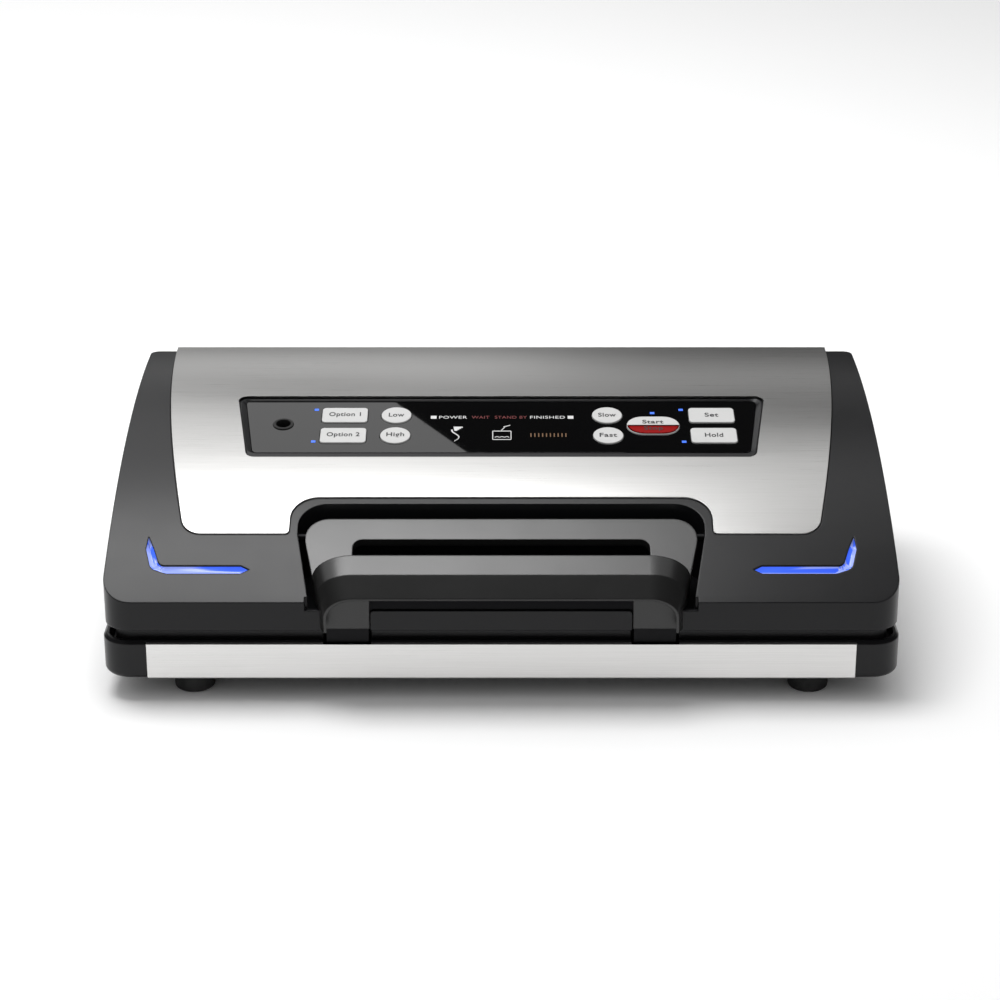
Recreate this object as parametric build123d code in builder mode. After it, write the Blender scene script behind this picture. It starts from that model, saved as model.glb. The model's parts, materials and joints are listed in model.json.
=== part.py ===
"""Countertop vacuum sealer: a base with the sealing deck, and a deep hinged lid that carries the
control panel, the pump and a pivoting latch handle.

Frame: millimetres, +Z up, the object's front faces -Y, +X is the user's right, and the origin is the
centre of the footprint on the surface that it stands on. Distances "t" run from the front face
towards the back, so y = t - DEPTH_MID.
"""
from build123d import *
from math import asin, atan2, cos, degrees, radians, sin, sqrt
import os

os.makedirs("parts", exist_ok=True)

# ---------------------------------------------------------------- driving dimensions
LID_W = 400.4            # lid width
BASE_W = 403.0           # base width
LID_DEPTH = 228.0        # lid depth, front face to back face
DEPTH_MID = 111.2        # the middle of the whole depth, handle nose to rear gland
CORNER_R = 14.4          # plan corner radius
REAR_R = 5.0             # the lid's two rear corners
LID_FRONT_Z = 54.0       # top edge of the lid's front face
LID_BOTTOM_Z = 38.4
BASE_TOP_Z = 32.6
BASE_BOTTOM_Z = 11.8
SLOPE_FRONT = 30.0       # slope of the lid's top at its front edge, degrees
SLOPE_BACK = -2.0        # and at its back edge
WALL = 2.5               # lid wall
BASE_WALL = 3.0
BASE_REAR = 226.0
CHAMFER = 1.6            # top edge of the base
TRIM_HALF, TRIM_T = 178.6, 0.8
FOOT_R = 10.2
FEET = [(-157.0, 18.6), (157.0, 18.6), (-157.0, 205.0), (157.0, 205.0)]
FOOT_NAMES = ["foot_front_left", "foot_front_right", "foot_rear_left", "foot_rear_right"]
BASE_SCREWS = [(-186.0, 40.0), (186.0, 40.0), (-186.0, 190.0), (186.0, 190.0), (0.0, 70.0), (0.0, 168.0)]
SCREW_R = 3.3
GLAND_X, GLAND_Z, GLAND_R = -172.0, 22.0, 6.5
CABLE_R = 3.4

STEEL_PROUD = 0.2        # brushed cover above the plastic at its front edge
STEEL_RISE = 2.4         # and at the back, where its folded edge stands up
STEEL_T = 0.7
STEEL_FRONT, STEEL_HALF = 40.4, 162.0    # its front edge, and half its width there
JOINT = 0.45             # visible gap round a fitted part

PANEL_T = 126.6          # middle of the control panel
PANEL_DROP = 0.7         # window below the lid's chord
WINDOW_T = 2.0
KEY_PROUD = 0.7
KEY_GAP = 0.35
KEY_TRAVEL = 0.8
KEY_ROW_BACK = 139.3
KEY_ROW_FRONT = 119.0
RECT_KEY = (24.6, 14.8)
ROUND_KEY_R = 8.1
START_KEY = (28.4, 18.0)
START_X, START_T = 81.8, 128.9
PORT_X, PORT_T = -117.5, 130.6
PORT_BORE_R, PORT_RING_R = 4.0, 5.6
PORT_LEN = 12.0

HANDLE_PIVOT_T, HANDLE_PIVOT_Z = 45.0, 70.5
PIN_R = 2.0
RUNNING = 0.05           # radial clearance of a pin in its moving bore
LEG_X = (66.0, 88.4)     # latch legs
LEG_BOTTOM = 38.9
NOTCH_X = (65.4, 89.5)   # openings in the base rim and the lid wall for the latch legs
POCKET_SILL = LID_FRONT_Z - 4.6   # top of the lid's front wall under the grip
HINGE_T, HINGE_Z = 218.5, 44.6
LUG_X = 118.0            # middle of each base hinge lug
LUG_W = 12.0

DECK_Z = 37.6            # top of the sealing deck
DECK_INSET = 6.0
TROUGH = (29.0, 55.0)    # vacuum channel, t range
BAY = (84.0, 158.0)      # roll bay, t range
SEAL_T = 14.5            # middle of the sealing bar
GASKET_FLOOR = DECK_Z - 2.0
RAIL_T = 75.0            # middle of the cutter rail
DOME = (68.0, 160.0, 74.0)   # lid hollow over the roll bay: t range and ceiling
SUCTION_X, SUCTION_R = 150.0, 3.0    # hole from the vacuum channel to the hose
PUMP_X, PUMP_T, PUMP_Z = 20.0, 187.0, 62.0

ARC_R = LID_DEPTH / (sin(radians(SLOPE_FRONT)) - sin(radians(SLOPE_BACK)))
ARC_T = ARC_R * sin(radians(SLOPE_FRONT))
ARC_Z = LID_FRONT_Z - ARC_R * cos(radians(SLOPE_FRONT))


# ---------------------------------------------------------------- shared geometry
def y(t):
    """Depth behind the front face as a y coordinate."""
    return t - DEPTH_MID


def top_z(t, offset=0.0):
    """Height of the lid's top surface, or of a surface parallel to it."""
    return ARC_Z + sqrt((ARC_R + offset) ** 2 - (t - ARC_T) ** 2)


def profile(offset, t0, t1, bottom, mode=Mode.ADD):
    """Side view of what lies under the lid's top arc, in a YZ sketch."""
    mid = (t0 + t1) / 2
    with BuildLine() as outline:
        ThreePointArc(*[(y(t), top_z(t, offset)) for t in (t0, mid, t1)])
        Polyline((y(t1), top_z(t1, offset)), (y(t1), bottom), (y(t0), bottom), (y(t0), top_z(t0, offset)))
    make_face(outline.edges(), mode=mode)


def skin(high, low, t0, t1, half_width, mode=Mode.ADD):
    """A layer that follows the lid's top between two offsets."""
    with BuildSketch(Plane.YZ) as side:
        profile(high, t0, t1, 0)
        profile(low, t0 - 1, t1 + 1, 0, mode=Mode.SUBTRACT)
    extrude(side.sketch, amount=half_width, both=True, mode=mode)


def plan_rect(width, t0, t1, radius):
    """Rounded rectangle in plan, symmetric about x = 0."""
    with Locations((0, y((t0 + t1) / 2))):
        RectangleRounded(width, t1 - t0, radius)


def mirrored_outline(points, rounds):
    """Closed plan outline from its right half, given as (x, t); rounds maps an index to a radius."""
    right = [(x, y(t)) for x, t in points]
    left = [(-x, v) for x, v in reversed(right) if x > 0]
    with BuildLine() as outline:
        Polyline(*right, *left, close=True)
    make_face(outline.edges())
    for index, radius in rounds.items():
        x, v = right[index]
        fillet([p for p in vertices() if abs(abs(p.X) - x) < 0.01 and abs(p.Y - v) < 0.01], radius)


def block(x0, x1, t0, t1, z0, z1, mode=Mode.ADD):
    """Axis-aligned block from its limits."""
    with Locations(((x0 + x1) / 2, y((t0 + t1) / 2), (z0 + z1) / 2)):
        Box(x1 - x0, t1 - t0, z1 - z0, mode=mode)


def rod(x0, x1, t, z, radius, mode=Mode.ADD):
    """Round bar along X."""
    with Locations(Location(((x0 + x1) / 2, y(t), z), (0, 90, 0))):
        Cylinder(radius, x1 - x0, mode=mode)


def save(builder, name):
    """Label a finished sub-part and write its file."""
    builder.part.label = name
    export_step(builder.part, f"parts/{name}.step")


# The panel's own plane: x to the right, its y up the slope, its z out of the window.
CHORD_SLOPE = asin((ARC_T - PANEL_T) / ARC_R)
panel_point = (0, y(PANEL_T), top_z(PANEL_T) - 1.0 - PANEL_DROP)
PANEL = Plane(origin=panel_point, x_dir=(1, 0, 0), z_dir=(0, -sin(CHORD_SLOPE), cos(CHORD_SLOPE)))


def v(t):
    """Place on the panel's own y axis of a depth t."""
    return (t - PANEL_T) / cos(CHORD_SLOPE)


def panel_outline(top_half, bottom_half, top_t, bottom_t, radius):
    """Trapezoid of the panel, in a sketch on PANEL."""
    with BuildLine() as outline:
        Polyline((-bottom_half, v(bottom_t)), (bottom_half, v(bottom_t)), (top_half, v(top_t)),
                 (-top_half, v(top_t)), close=True)
    make_face(outline.edges())
    fillet(vertices(), radius)


def bezel_outline(grow=0.0):
    """Outer edge of the panel's frame."""
    panel_outline(143.6 + grow, 134.3 + grow, 156.0 + grow, 97.0 - grow, 5.0)


def window_outline(grow=0.0):
    """Edge of the glossy window."""
    panel_outline(139.4 + grow, 132.0 + grow, 154.4 + grow, 102.8 - grow, 3.0)


def rect_key(grow=0.0):
    RectangleRounded(RECT_KEY[0] + 2 * grow, RECT_KEY[1] + 2 * grow, 2.2 + grow)


def round_key(grow=0.0):
    Circle(ROUND_KEY_R + grow)


def half_key(side, grow=0.0):
    """Upper (+1) or lower (-1) half of the round-ended start key."""
    SlotOverall(START_KEY[0] + 2 * grow, START_KEY[1] + 2 * grow)
    if grow == 0.0:
        with Locations((0, -side * (START_KEY[1] / 2 - KEY_GAP / 2))):
            Rectangle(START_KEY[0] + 2, START_KEY[1], mode=Mode.SUBTRACT)


def start_key(grow=0.0):
    half_key(1, grow)


def cancel_key(grow=0.0):
    half_key(-1, grow)


KEYS = {
    "key_canister": (-84.7, KEY_ROW_BACK, rect_key),
    "key_marinate": (-84.7, KEY_ROW_FRONT, rect_key),
    "key_food_normal": (-56.8, KEY_ROW_BACK, round_key),
    "key_food_liquid": (-56.8, KEY_ROW_FRONT, round_key),
    "key_speed_gentle": (57.3, KEY_ROW_BACK, round_key),
    "key_speed_normal": (57.3, KEY_ROW_FRONT, round_key),
    "key_start": (START_X, START_T, start_key),
    "key_cancel": (START_X, START_T, cancel_key),
    "key_seal": (113.9, KEY_ROW_BACK, rect_key),
    "key_pulse": (113.9, KEY_ROW_FRONT, rect_key),
}
STEM_SHIFT = {"key_start": 4.5, "key_cancel": -4.5}
LEDS = [(-100.4, 145.5), (-100.4, 113.5), (81.9, 142.1), (97.6, 145.4), (97.6, 113.3)]
LED_SIZE = (2.3, 1.9)


def steel_outline():
    """Plan of the brushed cover: flared sides, round front corners and the bay for the handle."""
    with BuildLine() as outline:
        ThreePointArc((185.2, y(228.0)), (178.0, y(132.0)), (STEEL_HALF, y(STEEL_FRONT)))
        Polyline((STEEL_HALF, y(STEEL_FRONT)), (108.6, y(STEEL_FRONT)), (108.6, y(65.1)),
                 (-108.6, y(65.1)), (-108.6, y(STEEL_FRONT)), (-STEEL_HALF, y(STEEL_FRONT)))
        ThreePointArc((-STEEL_HALF, y(STEEL_FRONT)), (-178.0, y(132.0)), (-185.2, y(228.0)))
        Polyline((-185.2, y(228.0)), (-185.2, y(232.0)), (185.2, y(232.0)), (185.2, y(228.0)))
    make_face(outline.edges())
    corners = {(STEEL_HALF, STEEL_FRONT): 10.5, (108.6, STEEL_FRONT): 2.0, (108.6, 65.1): 15.0}
    for (x, t), radius in corners.items():
        fillet([p for p in vertices() if abs(abs(p.X) - x) < 0.01 and abs(p.Y - y(t)) < 0.01], radius)


PLATE = [(94.9, 13.4), (99.9, 36.0), (99.9, 50.8)]


def light_outline(side):
    """L-shaped light strip with pointed ends."""
    points = [(127.0, 18.5), (131.5, 16.1), (169.0, 16.1), (177.0, 19.0), (180.4, 31.0), (179.8, 38.8),
              (176.6, 31.5), (172.8, 20.9), (131.5, 20.9)]
    with BuildLine() as outline:
        Polyline(*[(side * x, y(t)) for x, t in points], close=True)
    make_face(outline.edges())
    for x, radius in {169.0: 6.0, 177.0: 5.0, 172.8: 4.0}.items():
        fillet([p for p in vertices() if abs(abs(p.X) - x) < 0.01], radius)


# ---------------------------------------------------------------- base
def build_base_shell():
    """Outer tub with a chamfered rim, latch notches, hinge lugs, gland hole and bottom vents."""
    with BuildPart() as base_shell:
        with BuildSketch(Plane.XY.offset(BASE_BOTTOM_Z)):
            plan_rect(BASE_W, 0, BASE_REAR, CORNER_R)
        extrude(amount=BASE_TOP_Z - BASE_BOTTOM_Z)
        fillet(base_shell.faces().sort_by(Axis.Z)[0].edges(), 3.2)
        chamfer(base_shell.faces().sort_by(Axis.Z)[-1].edges(), CHAMFER)
        with BuildSketch(Plane.XY.offset(BASE_BOTTOM_Z + BASE_WALL)):
            plan_rect(BASE_W - 2 * BASE_WALL, BASE_WALL, BASE_REAR - BASE_WALL, CORNER_R - BASE_WALL)
        extrude(amount=30, mode=Mode.SUBTRACT)
        with BuildSketch(Plane.XY.offset(25.0)):
            plan_rect(BASE_W - 2 * BASE_WALL + 1, BASE_WALL - 0.5, BASE_REAR - BASE_WALL + 0.5, CORNER_R)
            with Locations((0, y(105.0))):
                Rectangle(380.0, 186.0, mode=Mode.SUBTRACT)
        extrude(amount=2.6)
        for side in (-1, 1):
            near, far = sorted((side * NOTCH_X[0], side * NOTCH_X[1]))
            block(near, far, -1, 9.0, 27.6, BASE_TOP_Z + 1, mode=Mode.SUBTRACT)
            x0, x1 = side * LUG_X - LUG_W / 2, side * LUG_X + LUG_W / 2
            block(x0, x1, HINGE_T - 4.6, HINGE_T + 4.6, BASE_BOTTOM_Z + 1, HINGE_Z)
            rod(x0, x1, HINGE_T, HINGE_Z, 4.6)
            rod(x0 - 1, x1 + 1, HINGE_T, HINGE_Z, PIN_R, mode=Mode.SUBTRACT)
        block(-TRIM_HALF, TRIM_HALF, -1, TRIM_T, BASE_BOTTOM_Z - 1, BASE_TOP_Z + 1, mode=Mode.SUBTRACT)
        with Locations(Location((GLAND_X, y(BASE_REAR), GLAND_Z), (90, 0, 0))):
            Cylinder(GLAND_R, 12, mode=Mode.SUBTRACT)
        with Locations((0, y(190.0), BASE_BOTTOM_Z)):
            with GridLocations(9.0, 0, 12, 1):
                Box(3.0, 22.0, 12.0, mode=Mode.SUBTRACT)
        for x, t in FEET:
            with Locations((x, y(t), BASE_BOTTOM_Z)):
                Cylinder(FOOT_R + 1.2, 2.4, mode=Mode.SUBTRACT)
        for x, t in BASE_SCREWS:
            with Locations((x, y(t), BASE_BOTTOM_Z)):
                Cylinder(SCREW_R + 0.3, 4.0, mode=Mode.SUBTRACT)
    save(base_shell, "base_shell")


def build_front_trim():
    """Brushed strip that follows the base's face and its chamfer."""
    with BuildPart() as front_trim:
        with BuildSketch(Plane.YZ):
            with BuildLine():
                Polyline((y(0), BASE_BOTTOM_Z + 0.9), (y(0), BASE_TOP_Z - CHAMFER),
                         (y(TRIM_T), BASE_TOP_Z - CHAMFER + TRIM_T), (y(TRIM_T), BASE_BOTTOM_Z + 0.1),
                         close=True)
            make_face()
        extrude(amount=TRIM_HALF - 0.1, both=True)
        for side in (-1, 1):
            near, far = sorted((side * NOTCH_X[0], side * NOTCH_X[1]))
            block(near, far, -1, 3.0, BASE_TOP_Z - CHAMFER, BASE_TOP_Z + 1, mode=Mode.SUBTRACT)
    save(front_trim, "front_trim")


def build_feet():
    """Round rubber feet with a moulded step."""
    for name, (x, t) in zip(FOOT_NAMES, FEET):
        with BuildPart() as foot:
            with Locations((x, y(t), 0)):
                Cylinder(FOOT_R, BASE_BOTTOM_Z + 0.8, align=(Align.CENTER, Align.CENTER, Align.MIN))
            fillet(foot.faces().sort_by(Axis.Z)[0].edges(), 1.8)
            with BuildSketch(Plane.XY.offset(BASE_BOTTOM_Z + 0.1)):
                with Locations((x, y(t))):
                    Circle(FOOT_R + 1.1)
            extrude(amount=1.0)
        save(foot, name)


def build_base_deck():
    """Sealing deck: raised plate with the vacuum channel, gasket groove, bar seat and roll bay."""
    half = BASE_W / 2 - DECK_INSET
    rear = 204.0
    with BuildPart() as base_deck:
        with BuildSketch(Plane.XY.offset(27.8)):
            plan_rect(2 * half, DECK_INSET, rear, CORNER_R - 5)
        extrude(amount=DECK_Z - 27.8)
        with BuildSketch(Plane.XY.offset(27.8)):
            plan_rect(2 * half - 5, DECK_INSET + 2.5, rear - 2.5, CORNER_R - 7)
        extrude(amount=DECK_Z - 27.8 - 2.5, mode=Mode.SUBTRACT)
        block(-174, 174, BAY[0] - 2, BAY[1] + 2, 15.2, DECK_Z)
        block(-158, 158, TROUGH[0] - 2, TROUGH[1] + 2, 21.0, DECK_Z)
        block(-162, 162, SEAL_T - 5.5, SEAL_T + 5.5, 29.0, DECK_Z)
        block(-172, 172, BAY[0], BAY[1], 17.2, DECK_Z + 1, mode=Mode.SUBTRACT)
        block(-156, 156, TROUGH[0], TROUGH[1], 23.0, DECK_Z + 1, mode=Mode.SUBTRACT)
        block(-160, 160, SEAL_T - 3.6, SEAL_T + 3.6, 31.0, DECK_Z + 1, mode=Mode.SUBTRACT)
        with BuildSketch(Plane.XY.offset(GASKET_FLOOR)):
            gasket_ring(0.1)
        extrude(amount=5, mode=Mode.SUBTRACT)
        block(-168, 168, RAIL_T - 3.6, RAIL_T + 3.6, DECK_Z - 1.2, DECK_Z + 1, mode=Mode.SUBTRACT)
        for side in (-1, 1):
            near, far = sorted((side * NOTCH_X[0], side * NOTCH_X[1]))
            block(near, far, 0, 9.4, 27, DECK_Z + 1, mode=Mode.SUBTRACT)
            block(*sorted((side * 150.0, side * 152.5)), 65.0, 68.5, DECK_Z - 0.5, DECK_Z + 0.5)
    save(base_deck, "base_deck")


def gasket_ring(grow=0.0):
    """Race-track ring around the vacuum channel."""
    plan_rect(334 + 2 * grow, 21.0 - grow, 63.0 + grow, 14.0 + grow)
    with Locations((0, y(42.0))):
        RectangleRounded(324 - 2 * grow, 32.0 - 2 * grow, 9.0 - grow, mode=Mode.SUBTRACT)


def build_sealing_parts():
    """Gaskets, drip tray, sealing bar with wires and tape, and the lid's pressure strip."""
    with BuildPart() as lower_gasket:
        with BuildSketch(Plane.XY.offset(GASKET_FLOOR)):
            gasket_ring()
        extrude(amount=2.8)
        fillet(lower_gasket.faces().sort_by(Axis.Z)[-1].edges(), 0.8)
    save(lower_gasket, "lower_gasket")

    with BuildPart() as drip_tray:
        block(-155.4, 155.4, TROUGH[0] + 0.6, TROUGH[1] - 0.6, 23.2, 36.6)
        fillet(drip_tray.edges().filter_by(Axis.Z), 5.0)
        with BuildSketch(Plane.XY.offset(24.8)):
            plan_rect(307.6, TROUGH[0] + 2.2, TROUGH[1] - 2.2, 3.6)
        extrude(amount=20, mode=Mode.SUBTRACT)
        block(-14, 14, TROUGH[1] - 6.2, TROUGH[1] - 2.0, 33.6, 35.6)
    save(drip_tray, "drip_tray")

    with BuildPart() as seal_bar:
        block(-159.8, 159.8, SEAL_T - 3.4, SEAL_T + 3.4, 31.2, 37.3)
        fillet(seal_bar.edges().filter_by(Axis.Z), 1.5)
        for dt in (-1.4, 1.4):
            block(-154, 154, SEAL_T + dt - 0.6, SEAL_T + dt + 0.6, 36.9, 38, mode=Mode.SUBTRACT)
    save(seal_bar, "seal_bar")

    with BuildPart() as seal_wires:
        for dt in (-1.4, 1.4):
            block(-153.5, 153.5, SEAL_T + dt - 0.5, SEAL_T + dt + 0.5, 36.95, 37.4)
    save(seal_wires, "seal_wires")

    with BuildPart() as seal_tape:
        block(-157, 157, SEAL_T - 3.2, SEAL_T + 3.2, 37.45, 37.7)
    save(seal_tape, "seal_tape")

    with BuildPart() as upper_gasket:
        with BuildSketch(Plane.XY.offset(38.8)):
            gasket_ring()
        extrude(amount=1.8)
        fillet(upper_gasket.faces().sort_by(Axis.Z)[0].edges(), 0.8)
    save(upper_gasket, "upper_gasket")

    with BuildPart() as pressure_strip:
        block(-158, 158, SEAL_T - 3.2, SEAL_T + 3.2, 38.2, 40.4)
        fillet(pressure_strip.faces().sort_by(Axis.Z)[0].edges().filter_by(Axis.X), 1.0)
    save(pressure_strip, "pressure_strip")


def build_cutter():
    """Bag cutter: a dovetail rail and the slider that carries the blade."""
    with BuildPart() as cutter_rail:
        with BuildSketch(Plane.YZ):
            with BuildLine():
                Polyline((y(RAIL_T - 3.4), DECK_Z - 1.1), (y(RAIL_T + 3.4), DECK_Z - 1.1),
                         (y(RAIL_T + 3.4), 39.4), (y(RAIL_T + 1.6), 39.4), (y(RAIL_T + 2.8), 42.0),
                         (y(RAIL_T - 2.8), 42.0), (y(RAIL_T - 1.6), 39.4), (y(RAIL_T - 3.4), 39.4),
                         close=True)
            make_face()
        extrude(amount=167.5, both=True)
    save(cutter_rail, "cutter_rail")

    with BuildPart() as cutter_slider:
        with BuildSketch(Plane.YZ):
            with BuildLine():
                Polyline((y(RAIL_T - 5.2), 39.9), (y(RAIL_T - 2.2), 39.9), (y(RAIL_T - 3.3), 42.4),
                         (y(RAIL_T + 3.3), 42.4), (y(RAIL_T + 2.2), 39.9), (y(RAIL_T + 5.2), 39.9),
                         (y(RAIL_T + 5.2), 47.0), (y(RAIL_T + 2.5), 50.0), (y(RAIL_T - 2.5), 50.0),
                         (y(RAIL_T - 5.2), 47.0), close=True)
            make_face()
        extrude(amount=13, both=True)
        chamfer(cutter_slider.faces().sort_by(Axis.Z)[-1].edges().filter_by(Axis.Y), 1.5)
        block(-0.5, 0.5, RAIL_T + 3.6, RAIL_T + 6, 38, 44, mode=Mode.SUBTRACT)
    save(cutter_slider, "cutter_slider")

    with BuildPart() as cutter_blade:
        with BuildSketch(Plane.YZ):
            with BuildLine():
                Polyline((y(RAIL_T + 3.7), 43.9), (y(RAIL_T + 5.1), 43.9), (y(RAIL_T + 5.1), 40.0),
                         (y(RAIL_T + 3.7), 38.4), close=True)
            make_face()
        extrude(amount=0.3, both=True)
    save(cutter_blade, "cutter_blade")


def build_base_hardware():
    """Hinge pins, screws, mains gland and latch catches."""
    for side, name in ((-1, "hinge_pin_left"), (1, "hinge_pin_right")):
        with BuildPart() as hinge_pin:
            rod(side * LUG_X - 18, side * LUG_X + 18, HINGE_T, HINGE_Z, PIN_R)
            chamfer(hinge_pin.edges().filter_by(GeomType.CIRCLE), 0.4)
        save(hinge_pin, name)

    with BuildPart() as base_screws:
        for x, t in BASE_SCREWS:
            with Locations((x, y(t), BASE_BOTTOM_Z + 0.3)):
                Cylinder(SCREW_R, 1.6, align=(Align.CENTER, Align.CENTER, Align.MIN))
                Box(4.2, 0.9, 1.6, mode=Mode.SUBTRACT)
                Box(0.9, 4.2, 1.6, mode=Mode.SUBTRACT)
    save(base_screws, "base_screws")

    with BuildPart() as mains_gland:
        with Locations(Location((GLAND_X, y(BASE_REAR + 2.4), GLAND_Z), (90, 0, 0))):
            Cylinder(GLAND_R - 0.05, 7.0, align=(Align.CENTER, Align.CENTER, Align.MIN))
            Cylinder(GLAND_R + 2.0, 2.3, align=(Align.CENTER, Align.CENTER, Align.MIN))
        fillet(mains_gland.edges().filter_by(GeomType.CIRCLE).sort_by(Axis.Y)[-1], 1.0)
        with Locations(Location((GLAND_X, y(BASE_REAR), GLAND_Z), (90, 0, 0))):
            Cylinder(CABLE_R, 40, mode=Mode.SUBTRACT)
    save(mains_gland, "mains_gland")

    for side, name in ((-1, "latch_catch_left"), (1, "latch_catch_right")):
        with BuildPart() as latch_catch:
            near, far = sorted((side * (NOTCH_X[0] + 0.3), side * (NOTCH_X[1] - 0.3)))
            block(near, far, 7.8, 8.9, 27.7, 35.0)
            block(near, far, 1.2, 7.8, 27.7, 28.4)
        save(latch_catch, name)


# ---------------------------------------------------------------- lid
def build_lid_shell():
    """Deep lid: arched top, handle pocket, panel opening, hinge knuckles and light grooves."""
    with BuildPart() as lid_shell:
        with BuildSketch(Plane.YZ):
            profile(0, -2, LID_DEPTH + 2, LID_BOTTOM_Z)
        extrude(amount=LID_W / 2, both=True)
        with BuildSketch(Plane.XY.offset(LID_BOTTOM_Z)):
            lid_plan(0.0)
        extrude(amount=100, mode=Mode.INTERSECT)
        fillet(lid_shell.faces().sort_by(Axis.Z)[0].edges(), 0.8)

        add(lid_hollow(), mode=Mode.SUBTRACT)
        add(pocket_walls())
        add(pocket_space(), mode=Mode.SUBTRACT)
        rod(-106, 106, HANDLE_PIVOT_T, HANDLE_PIVOT_Z, PIN_R, mode=Mode.SUBTRACT)
        for side in (-1, 1):
            block(*sorted((side * 98.0, side * 138.0)), HINGE_T - 6, LID_DEPTH - 1, LID_BOTTOM_Z, 51.0)
            x0, x1 = side * LUG_X - LUG_W / 2 - 0.6, side * LUG_X + LUG_W / 2 + 0.6
            block(x0, x1, HINGE_T - 7, LID_DEPTH + 1, LID_BOTTOM_Z - 1, 51.5, mode=Mode.SUBTRACT)
            rod(side * LUG_X - 19, side * LUG_X + 19, HINGE_T, HINGE_Z, PIN_R + RUNNING, mode=Mode.SUBTRACT)
        with BuildSketch(Plane.YZ):
            with BuildLine():
                Polyline((y(LID_DEPTH + 1), LID_BOTTOM_Z - 1), (y(LID_DEPTH - 4), LID_BOTTOM_Z - 1),
                         (y(LID_DEPTH - 4), LID_BOTTOM_Z), (y(LID_DEPTH + 1), LID_BOTTOM_Z + 5), close=True)
            make_face()
        extrude(amount=LID_W / 2, both=True, mode=Mode.SUBTRACT)

        with BuildSketch(PANEL.offset(-20)):
            bezel_outline(0.05)
        extrude(amount=40, mode=Mode.SUBTRACT)
        for side in (-1, 1):
            with BuildSketch(Plane.XY.offset(40)):
                light_outline(side)
            extrude(amount=60, mode=Mode.SUBTRACT)
        add(steel_seat(), mode=Mode.SUBTRACT)
        with Locations((PUMP_X + 40, y(LID_DEPTH), 74)):
            with GridLocations(6.0, 0, 15, 1):
                Box(2.4, 8.0, 16.0, mode=Mode.SUBTRACT)
    save(lid_shell, "lid_shell")


def lid_plan(inset):
    """Plan of the lid, with tighter corners at the back."""
    half = LID_W / 2 - inset
    mirrored_outline([(half, inset), (half, LID_DEPTH - inset)], {0: CORNER_R - inset, 1: REAR_R - inset})


def lid_hollow():
    """Space inside the lid's walls."""
    inner = LID_W - 2 * WALL
    with BuildPart() as hollow:
        with BuildSketch(Plane.YZ):
            profile(-WALL, 0, LID_DEPTH, LID_BOTTOM_Z - 1)
        extrude(amount=inner / 2, both=True)
        with BuildSketch(Plane.XY.offset(LID_BOTTOM_Z - 1)):
            lid_plan(WALL)
        extrude(amount=100, mode=Mode.INTERSECT)
    return hollow.part


def pocket_walls():
    """Walls and floor of the handle pocket, before it is hollowed."""
    with BuildPart() as walls:
        with BuildSketch(Plane.XY.offset(41.5)):
            mirrored_outline([(99.5, 1.2), (106.3, 40.0), (106.7, 63.0)], {2: 17.0})
        extrude(amount=70)
        with BuildSketch(Plane.YZ):
            profile(-0.1, 0.5, 70, 0)
        extrude(amount=120, both=True, mode=Mode.INTERSECT)
    return walls.part


def pocket_space():
    """Handle pocket with the notches at its front ends and the openings for the legs."""
    with BuildPart() as pocket:
        with BuildSketch(Plane.XY.offset(44.0)):
            mirrored_outline([(97.0, 2.6), (104.0, 40.0), (104.4, 60.7)], {2: 15.0})
        extrude(amount=70)
        block(-98.4, 98.4, -2, 3, POCKET_SILL, 90)
        for side in (-1, 1):
            near, far = sorted((side * NOTCH_X[0], side * (NOTCH_X[1] - 0.6)))
            block(near, far, -2, 8.5, 30, 60)
        sill = [e for e in pocket.edges().filter_by(Axis.Y)
                if abs(abs(e.center().X) - NOTCH_X[0]) < 0.01 and abs(e.center().Z - POCKET_SILL) < 0.01]
        fillet(sill, 1.8)
    return pocket.part


def steel_seat():
    """Step in the plastic that the brushed cover sits in."""
    with BuildPart() as seat:
        skin(3.0, STEEL_PROUD - STEEL_T, 20, LID_DEPTH + 1.0, 190)
        with BuildSketch(Plane.XY) as plan:
            steel_outline()
        extrude(offset(plan.sketch, amount=JOINT, mode=Mode.PRIVATE), amount=150, mode=Mode.INTERSECT)
    return seat.part


def build_steel_cover():
    """Brushed sheet over the lid's top, open for the panel."""
    with BuildPart() as steel_cover:
        with BuildSketch(Plane.YZ):
            front, middle, back = 20.0, 134.0, LID_DEPTH + 0.3
            rises = ((front, STEEL_PROUD), (middle, STEEL_RISE / 2), (back, STEEL_RISE))
            with BuildLine() as outline:
                ThreePointArc(*[(y(t), top_z(t, rise)) for t, rise in rises])
                Polyline((y(back), top_z(back, STEEL_RISE)), (y(back), 0), (y(front), 0),
                         (y(front), top_z(front, STEEL_PROUD)))
            make_face(outline.edges())
            profile(STEEL_PROUD - STEEL_T, front - 1, back + 1, 0, mode=Mode.SUBTRACT)
        extrude(amount=190, both=True)
        with BuildSketch(Plane.XY):
            steel_outline()
        extrude(amount=150, mode=Mode.INTERSECT)
        with BuildSketch(PANEL.offset(-20)):
            bezel_outline(JOINT)
        extrude(amount=40, mode=Mode.SUBTRACT)
    save(steel_cover, "steel_cover")


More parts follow.
